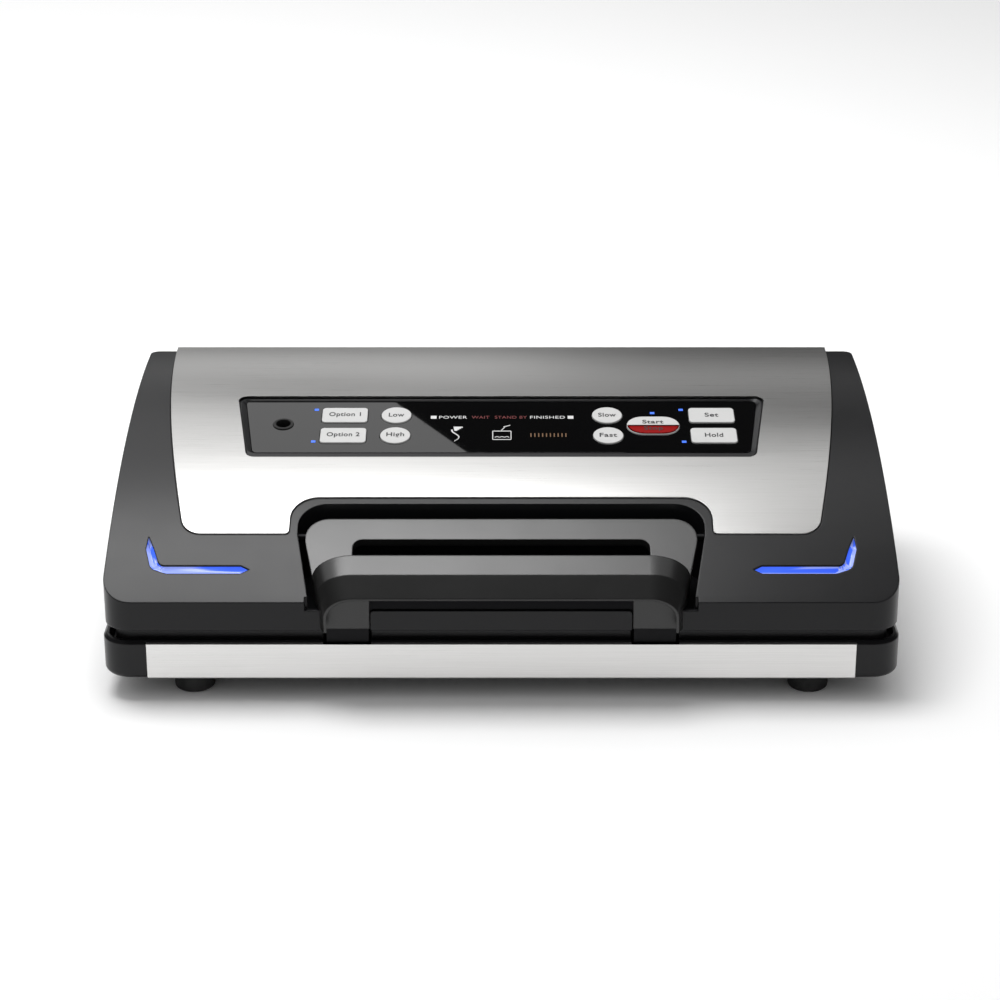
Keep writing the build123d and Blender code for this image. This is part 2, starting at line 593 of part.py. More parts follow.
def build_lid_liner():
    """Underside of the lid: chamber face, gasket groove, strip seat and the dome over the roll bay."""
    inner = LID_W - 2 * WALL - 0.4
    low, high, ceiling = DOME
    with BuildPart() as lid_liner:
        with BuildSketch(Plane.XY.offset(LID_BOTTOM_Z + 0.2)):
            plan_rect(inner, WALL + 0.2, 207.0, CORNER_R - WALL)
        extrude(amount=2.6)
        with BuildSketch(Plane.YZ):
            with BuildLine():
                dome_line(low - 2, high + 2, ceiling + 2, 22)
            make_face()
        extrude(amount=176, both=True)
        with BuildSketch(Plane.YZ):
            with BuildLine():
                dome_line(low, high, ceiling, 20)
            make_face()
        extrude(amount=174, both=True, mode=Mode.SUBTRACT)
        block(-156, 156, TROUGH[0], TROUGH[1], 30, 39.8, mode=Mode.SUBTRACT)
        block(-160, 160, SEAL_T - 3.4, SEAL_T + 3.4, 30, 40.4, mode=Mode.SUBTRACT)
        with BuildSketch(Plane.XY.offset(30)):
            gasket_ring(0.1)
        extrude(amount=10.6, mode=Mode.SUBTRACT)
        for side in (-1, 1):
            block(*sorted((side * NOTCH_X[0], side * NOTCH_X[1])), 0, 8.6, 30, 50, mode=Mode.SUBTRACT)
        with Locations((SUCTION_X, y(46.0), 40)):
            Cylinder(SUCTION_R, 10, mode=Mode.SUBTRACT)
    save(lid_liner, "lid_liner")


def dome_line(t0, t1, ceiling, radius):
    """Side view of the dome, open line closed at the lid's bottom."""
    FilletPolyline((y(t0), LID_BOTTOM_Z + 0.2), (y(t0), ceiling), (y(t1), ceiling),
                   (y(t1), LID_BOTTOM_Z + 0.2), radius=radius)
    Line((y(t1), LID_BOTTOM_Z + 0.2), (y(t0), LID_BOTTOM_Z + 0.2))


def build_panel():
    """Bevelled frame, glossy window with key openings, port insert, indicator lights and keys."""
    with BuildPart() as panel_bezel:
        with BuildSketch(PANEL.offset(-4.0)):
            bezel_outline(-0.05)
        extrude(amount=9.0)
        with BuildSketch(PANEL.offset(-5.0)):
            window_outline(-2.0)
        extrude(amount=12.0, mode=Mode.SUBTRACT)
        with BuildSketch(PANEL.offset(-WINDOW_T)):
            window_outline(0.1)
        extrude(amount=12.0, mode=Mode.SUBTRACT)
        with BuildSketch(PANEL.offset(-0.4)):
            window_outline(0.1)
        extrude(amount=3.5, taper=-58, mode=Mode.SUBTRACT)
        with BuildSketch(Plane.YZ):
            profile(STEEL_PROUD, 90, 165, 50)
        extrude(amount=150, both=True, mode=Mode.INTERSECT)
    save(panel_bezel, "panel_bezel")

    with BuildPart() as panel_window:
        with BuildSketch(PANEL.offset(-WINDOW_T)):
            window_outline(0.0)
        extrude(amount=WINDOW_T)
        with BuildSketch(PANEL.offset(-WINDOW_T - 1)):
            for name, (x, t, outline) in KEYS.items():
                with Locations((x, v(t))):
                    outline(KEY_GAP)
            for x, t in LEDS:
                with Locations((x, v(t))):
                    Rectangle(LED_SIZE[0] + 0.1, LED_SIZE[1] + 0.1)
            with Locations((PORT_X, v(PORT_T))):
                Circle(PORT_RING_R)
        extrude(amount=WINDOW_T + 2, mode=Mode.SUBTRACT)
    save(panel_window, "panel_window")

    with BuildPart() as port_insert:
        with BuildSketch(PANEL.offset(0.6 - PORT_LEN)):
            with Locations((PORT_X, v(PORT_T))):
                Circle(PORT_RING_R)
        extrude(amount=PORT_LEN)
        fillet(port_insert.edges().filter_by(GeomType.CIRCLE).sort_by(Axis.Z)[-1], 0.5)
        with BuildSketch(PANEL.offset(-20)):
            with Locations((PORT_X, v(PORT_T))):
                Circle(PORT_BORE_R)
        extrude(amount=30, mode=Mode.SUBTRACT)
    save(port_insert, "port_insert")

    with BuildPart() as indicator_lights:
        with BuildSketch(PANEL.offset(-WINDOW_T)):
            for x, t in LEDS:
                with Locations((x, v(t))):
                    Rectangle(*LED_SIZE)
        extrude(amount=WINDOW_T + 0.1)
    save(indicator_lights, "indicator_lights")

    for name, (x, t, outline) in KEYS.items():
        with BuildPart() as key:
            with BuildSketch(PANEL.offset(-3.6)):
                with Locations((x, v(t))):
                    outline()
            extrude(amount=3.6 + KEY_PROUD)
            top = key.faces().sort_by(Axis.Z)[-1]
            fillet(top.edges(), 0.4)
            with BuildSketch(PANEL.offset(-7.0)):
                with Locations((x, v(t) + STEM_SHIFT.get(name, 0))):
                    Circle(1.6)
            extrude(amount=3.6)
        save(key, name)


def build_lights():
    """Two light strips, set a little below the lid's surface."""
    for side, name in ((-1, "light_left"), (1, "light_right")):
        with BuildPart() as light:
            skin(-0.7, -WALL, 5, 50, 195)
            with BuildSketch(Plane.XY):
                light_outline(side)
            extrude(amount=150, mode=Mode.INTERSECT)
        save(light, name)


def build_electronics():
    """Control board with its switches, power board, transformer, pump and hose inside the lid."""
    with BuildPart() as control_board:
        with BuildSketch(PANEL.offset(-12.2)):
            with Locations((0, v(PANEL_T))):
                Rectangle(252, 46)
                with Locations((PORT_X, v(PORT_T))):
                    Circle(8, mode=Mode.SUBTRACT)
        extrude(amount=1.6)
    save(control_board, "control_board")

    with BuildPart() as micro_switches:
        with BuildSketch(PANEL.offset(-10.6)):
            for name, (x, t, outline) in KEYS.items():
                with Locations((x, v(t) + STEM_SHIFT.get(name, 0))):
                    RectangleRounded(6.0, 6.0, 0.6)
        extrude(amount=2.4)
    save(micro_switches, "micro_switches")

    with BuildPart() as power_board:
        block(-168, -66, 166, 205, 47.0, 48.6)
        for x, t, r, h in ((-84, 176, 8, 25), (-84, 196, 6, 18), (-70, 176, 3, 9)):
            with Locations((x, y(t), 48.6)):
                Cylinder(r, h, align=(Align.CENTER, Align.CENTER, Align.MIN))
        for x in (-160, -74):
            for t in (170, 201):
                with Locations((x, y(t), 41.2)):
                    Cylinder(2.5, 5.8, align=(Align.CENTER, Align.CENTER, Align.MIN))
    save(power_board, "power_board")

    with BuildPart() as transformer:
        block(-156, -104, 170, 202, 48.6, 90)
        for t0, t1 in ((170, 176), (196, 202)):
            block(-148, -112, t0, t1, 55, 84, mode=Mode.SUBTRACT)
        fillet(transformer.edges().filter_by(Axis.Y), 1.5)
    save(transformer, "transformer")

    with BuildPart() as pump_head:
        block(PUMP_X, PUMP_X + 26, PUMP_T - 20, PUMP_T + 20, 41.2, 92.0)
        fillet(pump_head.edges().filter_by(Axis.X), 4)
        rod(PUMP_X + 4, PUMP_X + 22, PUMP_T, PUMP_Z, 13, mode=Mode.SUBTRACT)
        rod(PUMP_X - 1, PUMP_X + 27, PUMP_T, PUMP_Z, PIN_R + RUNNING, mode=Mode.SUBTRACT)
        rod(PUMP_X + 6, PUMP_X + 20, PUMP_T, PUMP_Z + 16, 8, mode=Mode.SUBTRACT)
        with Locations((PUMP_X + 13, y(PUMP_T), 92)):
            Cylinder(4, 5, align=(Align.CENTER, Align.CENTER, Align.MIN))
    save(pump_head, "pump_head")

    with BuildPart() as motor_can:
        rod(PUMP_X + 26, PUMP_X + 84, PUMP_T, PUMP_Z, 18)
        fillet(motor_can.edges().filter_by(GeomType.CIRCLE), 3)
        rod(PUMP_X + 20, PUMP_X + 92, PUMP_T, PUMP_Z, PIN_R + RUNNING, mode=Mode.SUBTRACT)
        block(PUMP_X + 30, PUMP_X + 80, PUMP_T - 12, PUMP_T + 12, 41.2, PUMP_Z - 15)
    save(motor_can, "motor_can")

    with BuildPart() as pump_rotor:
        rod(PUMP_X + 1, PUMP_X + 90, PUMP_T, PUMP_Z, PIN_R)
        rod(PUMP_X + 8, PUMP_X + 18, PUMP_T + 1.8, PUMP_Z, 8)
    save(pump_rotor, "pump_rotor")

    start = (PUMP_X + 13, y(PUMP_T), 97.0)
    with BuildPart() as vacuum_hose:
        with BuildLine() as route:
            FilletPolyline(start, (start[0], start[1], 103.4), (186, start[1], 103.4), (186, start[1], 50),
                           (186, y(46), 50), (SUCTION_X, y(46), 50), (SUCTION_X, y(46), 41.2), radius=5.5)
        with BuildSketch(Plane(origin=start, z_dir=(0, 0, 1))):
            Circle(SUCTION_R)
        sweep(path=route.wire())
    save(vacuum_hose, "vacuum_hose")


def build_handle():
    """Latch handle: a slotted plate that carries a raised hollow grip and two legs."""
    sections = [(15.8, 95.3, 19.0, 20.7, 12.5), (3.5, 92.4, 13.7, 17.6, 11.6), (-6.0, 88.5, 4.5, 14.4, 10.6)]
    inner = [(13.0, 92.6, 16.0, 19.0, 11.4), (4.6, 89.9, 11.2, 16.2, 10.6), (-7.0, 86.9, 2.7, 13.6, 10.0)]
    with BuildPart() as handle_frame:
        loft([arch(*section, 40.0) for section in sections], ruled=True)
        loft([arch(*section, 30.0) for section in inner], ruled=True, mode=Mode.SUBTRACT)
        block(-100, 100, -0.5, 20, 30, 50.2, mode=Mode.SUBTRACT)
        add(handle_plate())
        with BuildSketch(Plane.XY.offset(40)):
            plan_rect(151.2, 13.2, 37.3, 5.0)
            with Locations((0, y(14.5))):
                Rectangle(160, 4, mode=Mode.SUBTRACT)
        extrude(amount=60, mode=Mode.SUBTRACT)
        for side in (-1, 1):
            x0, x1 = sorted((side * LEG_X[0], side * LEG_X[1]))
            block(x0, x1, 1.6, 4.6, LEG_BOTTOM, 60.0)
            block(x0, x1, 1.6, 14.0, 57.0, 60.0)
            for x in (82.0, 97.6):
                block(*sorted((side * (x - 2), side * (x + 1.6))), HANDLE_PIVOT_T - 4.4, HANDLE_PIVOT_T + 4.4,
                      HANDLE_PIVOT_Z, 73.2)
                rod(*sorted((side * (x - 2), side * (x + 1.6))), HANDLE_PIVOT_T, HANDLE_PIVOT_Z, 4.4)
        rod(-110, 110, HANDLE_PIVOT_T, HANDLE_PIVOT_Z, PIN_R + RUNNING, mode=Mode.SUBTRACT)
    save(handle_frame, "handle_frame")

    for side, name in ((-1, "latch_hook_left"), (1, "latch_hook_right")):
        with BuildPart() as latch_hook:
            x0, x1 = sorted((side * (LEG_X[0] + 0.6), side * (LEG_X[1] - 0.6)))
            with BuildSketch(Plane.YZ.offset(x0)):
                with BuildLine():
                    Polyline((y(2.2), 30.4), (y(3.2), 29.4), (y(5.6), 29.4), (y(6.4), 30.6),
                             (y(6.4), 32.4), (y(3.7), 33.4), (y(3.7), LEG_BOTTOM), (y(2.2), LEG_BOTTOM),
                             close=True)
                make_face()
            extrude(amount=x1 - x0)
        save(latch_hook, name)

    with BuildPart() as handle_pin:
        rod(-105.5, 105.5, HANDLE_PIVOT_T, HANDLE_PIVOT_Z, PIN_R)
    save(handle_pin, "handle_pin")


def handle_plate():
    """Plate that follows the lid's top and carries the grip."""
    with BuildPart() as plate:
        skin(-0.4, -3.6, 5, 55, 110)
        with BuildSketch(Plane.XY):
            mirrored_outline(PLATE, {1: 16.0, 2: 12.0})
        extrude(amount=120, mode=Mode.INTERSECT)
    return plate.part


def arch(t, half, top, round_x, round_z, bottom):
    """Arch-shaped section of the grip at a depth t; top is above the lid's front edge."""
    z = LID_FRONT_Z + top
    with BuildSketch(Plane.XZ.offset(-y(t))) as section:
        with BuildLine():
            Line((-half, bottom), (-half, z - round_z))
            EllipticalCenterArc((-half + round_x, z - round_z), round_x, round_z, 90, arc_size=90)
            Line((-half + round_x, z), (half - round_x, z))
            EllipticalCenterArc((half - round_x, z - round_z), round_x, round_z, 0, arc_size=90)
            Line((half, z - round_z), (half, bottom))
            Line((half, bottom), (-half, bottom))
        make_face()
    return section.sketch


build_base_shell()
build_front_trim()
build_feet()
build_base_deck()
build_sealing_parts()
build_cutter()
build_base_hardware()
build_lid_shell()
build_steel_cover()
build_lid_liner()
build_panel()
build_lights()
build_electronics()
build_handle()
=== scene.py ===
import json
import math

import bpy
from mathutils import Matrix, Vector


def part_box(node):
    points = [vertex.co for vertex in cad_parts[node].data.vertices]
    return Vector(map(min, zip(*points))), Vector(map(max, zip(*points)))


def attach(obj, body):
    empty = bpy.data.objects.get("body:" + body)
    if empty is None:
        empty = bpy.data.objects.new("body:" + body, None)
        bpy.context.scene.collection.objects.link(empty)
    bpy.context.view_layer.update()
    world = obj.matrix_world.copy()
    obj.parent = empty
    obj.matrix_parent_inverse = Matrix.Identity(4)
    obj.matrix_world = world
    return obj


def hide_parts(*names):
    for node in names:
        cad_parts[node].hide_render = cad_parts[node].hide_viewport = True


bl_info = {
    "name": "Vacuum Sealer",
    "version": (1, 0, 0),
    "blender": (4, 5, 0),
    "location": "View3D > Sidebar > Sealer",
    "description": "Finishes a countertop vacuum sealer around its packed frame",
    "category": "Object",
}

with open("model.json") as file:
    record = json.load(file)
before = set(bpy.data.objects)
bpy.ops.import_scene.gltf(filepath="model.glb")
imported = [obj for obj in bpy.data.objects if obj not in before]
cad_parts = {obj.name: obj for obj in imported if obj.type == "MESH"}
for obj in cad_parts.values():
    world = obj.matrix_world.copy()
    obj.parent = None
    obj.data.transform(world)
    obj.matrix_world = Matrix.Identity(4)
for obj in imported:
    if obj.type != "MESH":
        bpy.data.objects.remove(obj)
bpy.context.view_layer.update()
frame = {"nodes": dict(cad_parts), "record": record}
NODES = frame["nodes"]

MM = 0.001
PLATE_DEPTH = 0.00006
WORD_LIFT_MM = 0.05
PLATE_LIFT_MM = 0.04
PATCH_RIM = 0.0008
PATCH_RISE = 0.00005
CARD_HEIGHT = 1.6
FAR_CARD_HEIGHT = 1.5
WAIST_HEIGHT = 0.054


# ------------------------------------------------------------------ places taken from the frame
def mount(name):
    """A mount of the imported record."""
    return next(m for m in frame["record"]["mounts"] if m["name"] == name)


PANEL_NORMAL = Vector(mount("accessory_port")["axis"]).normalized()
PANEL_UP = PANEL_NORMAL.cross(Vector((1, 0, 0)))
FRONT_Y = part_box("lid_shell")[0].y


def face_centre(node):
    """Middle of a node's uppermost face along the panel's normal."""
    points = [v.co for v in NODES[node].data.vertices]
    level = max(p.dot(PANEL_NORMAL) for p in points)
    top = [p for p in points if p.dot(PANEL_NORMAL) > level - 0.00002]
    low = Vector([min(p[i] for p in top) for i in range(3)])
    high = Vector([max(p[i] for p in top) for i in range(3)])
    return (low + high) / 2


def on_panel(x, t, lift=0.0):
    """A point on the window at a width x and a depth t behind the front, in millimetres."""
    anchor = face_centre("panel_window")
    y = FRONT_Y + t * MM
    z = anchor.z - (y - anchor.y) * PANEL_NORMAL.y / PANEL_NORMAL.z
    return Vector((x * MM, y, z)) + PANEL_NORMAL * lift * MM


# ------------------------------------------------------------------ properties
class SealerSizes(bpy.types.PropertyGroup):
    """Sizes of the added pieces."""
    label_raise: bpy.props.FloatProperty(
        name="Label raise", description="Height of printed labels above their key",
        default=0.00006, unit="LENGTH", precision=5)
    word_height: bpy.props.FloatProperty(
        name="Key word height", description="Text size of the words on the keys",
        default=0.0055, unit="LENGTH")
    status_height: bpy.props.FloatProperty(
        name="Status word height", description="Text size of the display's words",
        default=0.0040, unit="LENGTH")
    word_bold: bpy.props.FloatProperty(
        name="Word weight", description="How far the letters are thickened", default=0.00010, unit="LENGTH",
        precision=5)
    status_row: bpy.props.FloatProperty(
        name="Status row", description="Depth of the row of words behind the front face",
        default=0.1378, unit="LENGTH")
    symbol_row: bpy.props.FloatProperty(
        name="Symbol row", description="Depth of the row of symbols behind the front face",
        default=0.1205, unit="LENGTH")
    groove_half: bpy.props.FloatProperty(
        name="Light groove half width", description="Width of each wall of the valley in a corner light",
        default=0.0018, unit="LENGTH")
    groove_depth: bpy.props.FloatProperty(
        name="Light groove depth", description="Depth of the valley in each corner light",
        default=0.0012, unit="LENGTH")
    camera_pitch: bpy.props.FloatProperty(
        name="Camera pitch", description="Angle of the camera below the horizon",
        default=math.radians(21.5), subtype="ANGLE", unit="ROTATION")
    camera_back: bpy.props.FloatProperty(
        name="Camera distance", description="Distance of the camera in front of the lid's face",
        default=1.1741, unit="LENGTH")
    camera_up: bpy.props.FloatProperty(
        name="Camera height", description="Height of the camera above the lid's front edge",
        default=0.5175, unit="LENGTH")
    camera_lens: bpy.props.FloatProperty(
        name="Camera lens", description="Focal length", default=92.52, subtype="DISTANCE_CAMERA")


class SealerColours(bpy.types.PropertyGroup):
    """Colours of the finishes."""
    plastic: bpy.props.FloatVectorProperty(
        name="Body plastic", description="Satin black housing", subtype="COLOR",
        default=(0.006, 0.006, 0.007), min=0, max=1)
    handle: bpy.props.FloatVectorProperty(
        name="Handle plastic", description="Satin charcoal handle", subtype="COLOR",
        default=(0.010, 0.010, 0.010), min=0, max=1)
    # The front trim takes this colour 1.7 times lighter, as painted light.
    steel: bpy.props.FloatVectorProperty(
        name="Brushed steel", description="Cover and front trim", subtype="COLOR",
        default=(0.42, 0.417, 0.411), min=0, max=1)
    key: bpy.props.FloatVectorProperty(
        name="Keys", description="White keys", subtype="COLOR", default=(0.56, 0.56, 0.555), min=0, max=1)
    cancel: bpy.props.FloatVectorProperty(
        name="Cancel patch", description="Red patch on the lower key", subtype="COLOR",
        default=(0.26, 0.003, 0.003), min=0, max=1)
    light: bpy.props.FloatVectorProperty(
        name="Light strips", description="Lit corner strips", subtype="COLOR",
        default=(0.05, 0.14, 0.95), min=0, max=1)


def sizes():
    return bpy.context.scene.sealer_sizes


def colours():
    return bpy.context.scene.sealer_colours


# ------------------------------------------------------------------ shader maths
class Value:
    """A shader socket whose arithmetic adds Math nodes."""

    def __init__(self, shade, socket):
        self.shade = shade
        self.socket = socket

    def __add__(self, other):
        return self.shade.math("ADD", self, other)

    def __radd__(self, other):
        return self.shade.math("ADD", other, self)

    def __sub__(self, other):
        return self.shade.math("SUBTRACT", self, other)

    def __rsub__(self, other):
        return self.shade.math("SUBTRACT", other, self)

    def __mul__(self, other):
        return self.shade.math("MULTIPLY", self, other)

    def __rmul__(self, other):
        return self.shade.math("MULTIPLY", other, self)

    def __truediv__(self, other):
        return self.shade.math("DIVIDE", self, other)

    def step(self, low, high, out_low=0.0, out_high=1.0):
        """Smooth change from out_low at low to out_high at high."""
        inputs = {"Value": self, "From Min": low, "From Max": high, "To Min": out_low, "To Max": out_high}
        return self.shade.node("ShaderNodeMapRange", {"interpolation_type": "SMOOTHSTEP"}, inputs)


class Shade:
    """One material's nodes."""

    def __init__(self, name):
        self.material = bpy.data.materials.new(name)
        self.material.use_nodes = True
        self.tree = self.material.node_tree
        self.tree.nodes.clear()

    def node(self, kind, settings=None, inputs=None, output=0):
        """Add a node: settings first, then the values or links of its sockets."""
        node = self.tree.nodes.new(kind)
        for key, value in (settings or {}).items():
            if key == "stops":
                self.fill_ramp(node.color_ramp, value)
            else:
                setattr(node, key, value)
        for key, value in (inputs or {}).items():
            if isinstance(value, Value):
                self.tree.links.new(value.socket, node.inputs[key])
            else:
                node.inputs[key].default_value = value
        return Value(self, node.outputs[output])

    @staticmethod
    def fill_ramp(ramp, stops):
        while len(ramp.elements) < len(stops):
            ramp.elements.new(1.0)
        for element, (place, colour) in zip(ramp.elements, stops):
            element.position = place
            element.color = (*colour, 1.0)

    def math(self, operation, a, b=0.0):
        return self.node("ShaderNodeMath", {"operation": operation}, {0: a, 1: b})

    def mix(self, factor, a, b):
        """Colour between a and b."""
        inputs = {0: factor}
        for index, colour in ((6, a), (7, b)):
            inputs[index] = colour if isinstance(colour, Value) else (*colour, 1.0)
        return self.node("ShaderNodeMix", {"data_type": "RGBA"}, inputs, output=2)

    def place(self, scale=(1, 1, 1)):
        """Object coordinates in metres, stretched by a scale."""
        point = self.node("ShaderNodeTexCoord", output="Object")
        return self.node("ShaderNodeVectorMath", {"operation": "MULTIPLY"}, {0: point, 1: scale})

    def axis(self, name):
        """One object coordinate, in metres."""
        point = self.node("ShaderNodeTexCoord", output="Object")
        return self.node("ShaderNodeSeparateXYZ", inputs={0: point}, output="XYZ".index(name))

    def facing(self, name):
        """One component of the surface's normal, turning with the piece."""
        normal = self.node("ShaderNodeTexCoord", output="Normal")
        return self.node("ShaderNodeSeparateXYZ", inputs={0: normal}, output="XYZ".index(name))

    def noise(self, scale, stretch=(1, 1, 1), detail=3.0, roughness=0.55):
        inputs = {"Vector": self.place(stretch), "Scale": scale, "Detail": detail, "Roughness": roughness}
        return self.node("ShaderNodeTexNoise", inputs=inputs)

    def cells(self, scale, stretch=(1, 1, 1)):
        inputs = {"Vector": self.place(stretch), "Scale": scale}
        return self.node("ShaderNodeTexVoronoi", {"feature": "F1"}, inputs)

    def edge_normal(self, radius):
        """Normal rounded over sharp edges."""
        return self.node("ShaderNodeBevel", {"samples": 6}, {"Radius": radius})

    def bump(self, height, distance, strength=1.0, normal=None):
        inputs = {"Height": height, "Distance": distance, "Strength": strength}
        if normal is not None:
            inputs["Normal"] = normal
        return self.node("ShaderNodeBump", inputs=inputs)

    def finish(self, **sockets):
        """Principled surface; sockets use the shader's own names with _ for spaces."""
        inputs = {}
        for key, value in sockets.items():
            name = {"ior": "IOR"}.get(key, key.replace("_", " ").title())
            name = name.replace("Ior Level", "IOR Level")
            if isinstance(value, tuple) and len(value) == 3:
                value = (*value, 1.0)
            inputs[name] = value
        surface = self.node("ShaderNodeBsdfPrincipled", inputs=inputs)
        self.node_output(surface)
        return self.material

    def node_output(self, surface):
        output = self.tree.nodes.new("ShaderNodeOutputMaterial")
        self.tree.links.new(surface.socket, output.inputs["Surface"])


# ------------------------------------------------------------------ materials
def moulded_plastic(name, colour, roughness, grain=0.000012, edge=0.0009, specular=0.5):
    """Satin moulding: fine spark-eroded grain, faint flow marks and rubbed edges."""
    shade = Shade(name)
    flow = shade.noise(9.0, stretch=(1, 2, 2), detail=2.0)
    haze = shade.noise(60.0, detail=4.0)
    dark, pale = (tuple(c * scale for c in colour) for scale in (0.86, 1.16))
    tint = shade.mix(flow * 0.5 + haze * 0.3, dark, pale)
    dull = roughness - 0.05 + flow * 0.06 + haze * 0.05
    texture = shade.cells(2600.0) * 0.6 + shade.noise(5200.0, detail=2.0) * 0.4
    normal = shade.bump(texture, grain, normal=shade.edge_normal(edge))
    return shade.finish(base_color=tint, roughness=dull, normal=normal, specular_ior_level=specular)


def brushed_steel(name, colour, roughness, streak=0.0000035):
    """Horizontally brushed sheet: long fine streaks in gloss, tone and height."""
    shade = Shade(name)
    fine = shade.noise(1.0, stretch=(40, 9000, 9000), detail=6.0, roughness=0.7)
    coarse = shade.noise(1.0, stretch=(14, 2200, 2200), detail=4.0, roughness=0.6)
    cloud = shade.noise(7.0, detail=2.0)
    tone = (fine * 0.6 + coarse * 0.4).step(0.3, 0.7)
    tint = shade.mix(tone, tuple(c * 0.93 for c in colour), tuple(min(1.0, c * 1.05) for c in colour))
    gloss = roughness - 0.05 + tone * 0.06 + cloud * 0.04
    normal = shade.bump(fine, streak, normal=shade.edge_normal(0.0002))
    return shade.finish(base_color=tint, metallic=1.0, roughness=gloss, normal=normal)


def gloss_window(name):
    """Polished dark panel with faint wiping marks."""
    shade = Shade(name)
    wipe = shade.noise(14.0, stretch=(1, 3, 1), detail=5.0)
    dust = shade.noise(900.0, detail=2.0).step(0.66, 0.8)
    tint = shade.mix(dust, (0.0012, 0.0012, 0.0014), (0.003, 0.003, 0.003))
    normal = shade.edge_normal(0.0003)
    return shade.finish(base_color=tint, roughness=0.008 + wipe * 0.012 + dust * 0.06, normal=normal)


def key_cap(name, colour, specular=0.3):
    """Silk-finished key with softly rounded edges and a slightly worn middle."""
    shade = Shade(name)
    wear = shade.noise(140.0, detail=3.0)
    tint = shade.mix(wear, tuple(c * 0.95 for c in colour), tuple(min(1, c * 1.03) for c in colour))
    grain = shade.noise(4200.0, detail=2.0)
    normal = shade.bump(grain, 0.000006, normal=shade.edge_normal(0.0004))
    return shade.finish(base_color=tint, roughness=0.38 + wear * 0.12, normal=normal,
                        specular_ior_level=specular)


def ink(name, colour, glow=0.0, roughness=0.5):
    """Printed or lit marking with a slightly broken surface."""
    shade = Shade(name)
    broken = shade.noise(2600.0, detail=3.0)
    tint = shade.mix(broken, tuple(c * 0.85 for c in colour), colour)
    return shade.finish(base_color=tint, roughness=roughness - 0.1 + broken * 0.2,
                        emission_color=tint, emission_strength=glow)


def rubber(name, colour, roughness=0.8):
    """Matt rubber with a dusty bloom and fine pimples."""
    shade = Shade(name)
    bloom = shade.noise(110.0, detail=4.0)
    tint = shade.mix(bloom.step(0.35, 0.75), colour, tuple(c * 1.9 + 0.004 for c in colour))
    pimples = shade.cells(1500.0)
    normal = shade.bump(pimples, 0.00003, normal=shade.edge_normal(0.0006))
    return shade.finish(base_color=tint, roughness=roughness - 0.1 + bloom * 0.15, normal=normal,
                        specular_ior_level=0.35)


def foam(name):
    """Closed-cell gasket foam."""
    shade = Shade(name)
    cell = shade.cells(1300.0)
    big = shade.noise(260.0, detail=3.0)
    tint = shade.mix(cell, (0.012, 0.012, 0.013), (0.05, 0.05, 0.052))
    normal = shade.bump(cell * 0.7 + big * 0.3, 0.00016)
    return shade.finish(base_color=tint, roughness=0.86 + big * 0.1, normal=normal, specular_ior_level=0.3)


def bare_metal(name, colour, roughness, scale=700.0):
    """Ground or plated metal with turning marks and faint stains."""
    shade = Shade(name)
    marks = shade.noise(1.0, stretch=(scale * 4, scale, scale), detail=4.0)
    stain = shade.noise(80.0, detail=3.0)
    tint = shade.mix(stain, tuple(c * 0.8 for c in colour), colour)
    normal = shade.bump(marks, 0.000004, normal=shade.edge_normal(0.0003))
    dull = roughness - 0.04 + marks * 0.08 + stain * 0.05
    return shade.finish(base_color=tint, metallic=1.0, roughness=dull, normal=normal)


def coated_cloth(name):
    """Brown coated glass cloth over the element: a plain weave under a smooth skin."""
    shade = Shade(name)
    threads = [
        shade.node("ShaderNodeTexWave", {"bands_direction": band}, {"Vector": shade.place(), "Scale": 420.0})
        for band in ("X", "Y")]
    weave = shade.node("ShaderNodeTexChecker", inputs={"Vector": shade.place(), "Scale": 1700.0}, output=1)
    height = threads[0] * weave + threads[1] * (1 - weave)
    tint = shade.mix(height, (0.16, 0.085, 0.035), (0.27, 0.155, 0.07))
    return shade.finish(base_color=tint, roughness=0.38 + height * 0.1, normal=shade.bump(height, 0.00003))


def circuit_board(name):
    """Green solder mask over copper tracks with drilled pads."""
    shade = Shade(name)
    tracks = shade.node("ShaderNodeTexBrick", {"offset": 0.37, "squash": 0.6},
                        {"Vector": shade.place(), "Scale": 90.0, "Mortar Size": 0.06, "Mortar Smooth": 0.0},
                        output="Fac")
    pads = 1 - shade.cells(330.0).step(0.16, 0.2)
    mask = shade.mix(tracks, (0.012, 0.09, 0.03), (0.03, 0.17, 0.06))
    tint = shade.mix(pads, mask, (0.6, 0.55, 0.42))
    return shade.finish(base_color=tint, metallic=pads * 0.9, roughness=0.35 - pads * 0.1,
                        normal=shade.bump(tracks + pads, 0.00003))


def laminated_iron(name):
    """Varnished stack of thin sheets with a copper winding's warmth."""
    shade = Shade(name)
    sheets = shade.node("ShaderNodeTexWave", {"bands_direction": "Y"},
                        {"Vector": shade.place(), "Scale": 320.0, "Distortion": 0.4})
    rust = shade.noise(120.0, detail=4.0)
    tint = shade.mix(rust.step(0.45, 0.75), (0.09, 0.08, 0.07), (0.2, 0.1, 0.05))
    return shade.finish(base_color=tint, metallic=0.6, roughness=0.5 + rust * 0.2,
                        normal=shade.bump(sheets, 0.00008))


def smoked_tray(name):
    """Slightly clear smoke-coloured tray."""
    shade = Shade(name)
    haze = shade.noise(50.0, detail=4.0)
    tint = shade.mix(haze, (0.10, 0.11, 0.125), (0.15, 0.16, 0.18))
    return shade.finish(base_color=tint, roughness=0.22 + haze * 0.12, normal=shade.edge_normal(0.0006),
                        transmission_weight=0.25, ior=1.49)


def clear_hose(name):
    """Milky silicone tube."""
    shade = Shade(name)
    cloud = shade.noise(120.0, detail=3.0)
    tint = shade.mix(cloud, (0.5, 0.5, 0.48), (0.7, 0.7, 0.68))
    return shade.finish(base_color=tint, roughness=0.35 + cloud * 0.1, subsurface_weight=0.15)


